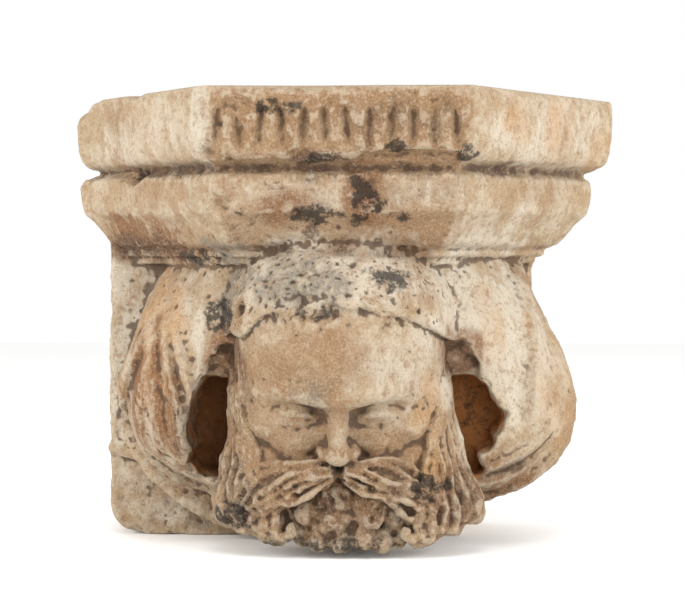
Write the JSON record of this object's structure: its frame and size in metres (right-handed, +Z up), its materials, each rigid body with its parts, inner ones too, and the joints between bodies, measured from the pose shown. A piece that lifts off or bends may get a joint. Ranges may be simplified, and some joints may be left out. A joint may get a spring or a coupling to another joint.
{
  "type": "stone corbel",
  "caption": "Carved limestone corbel: a moulded three-sided abacus carried by a bowed, bearded head under a cowl between two sleeves, with a plain tail for the wall.",
  "frame": {"origin": "centre of the flat back face, which is built into the wall", "axes": "+Z up, +Y into the wall out of the back face, the carved front towards -Y, +X to the right as seen from the front"},
  "size_m": [0.392, 0.2404, 0.318],
  "materials": {
    "limestone": "weathered, matt"
  },
  "bodies": {
    "root": {"corbel": "limestone"}
  },
  "joints": []
}
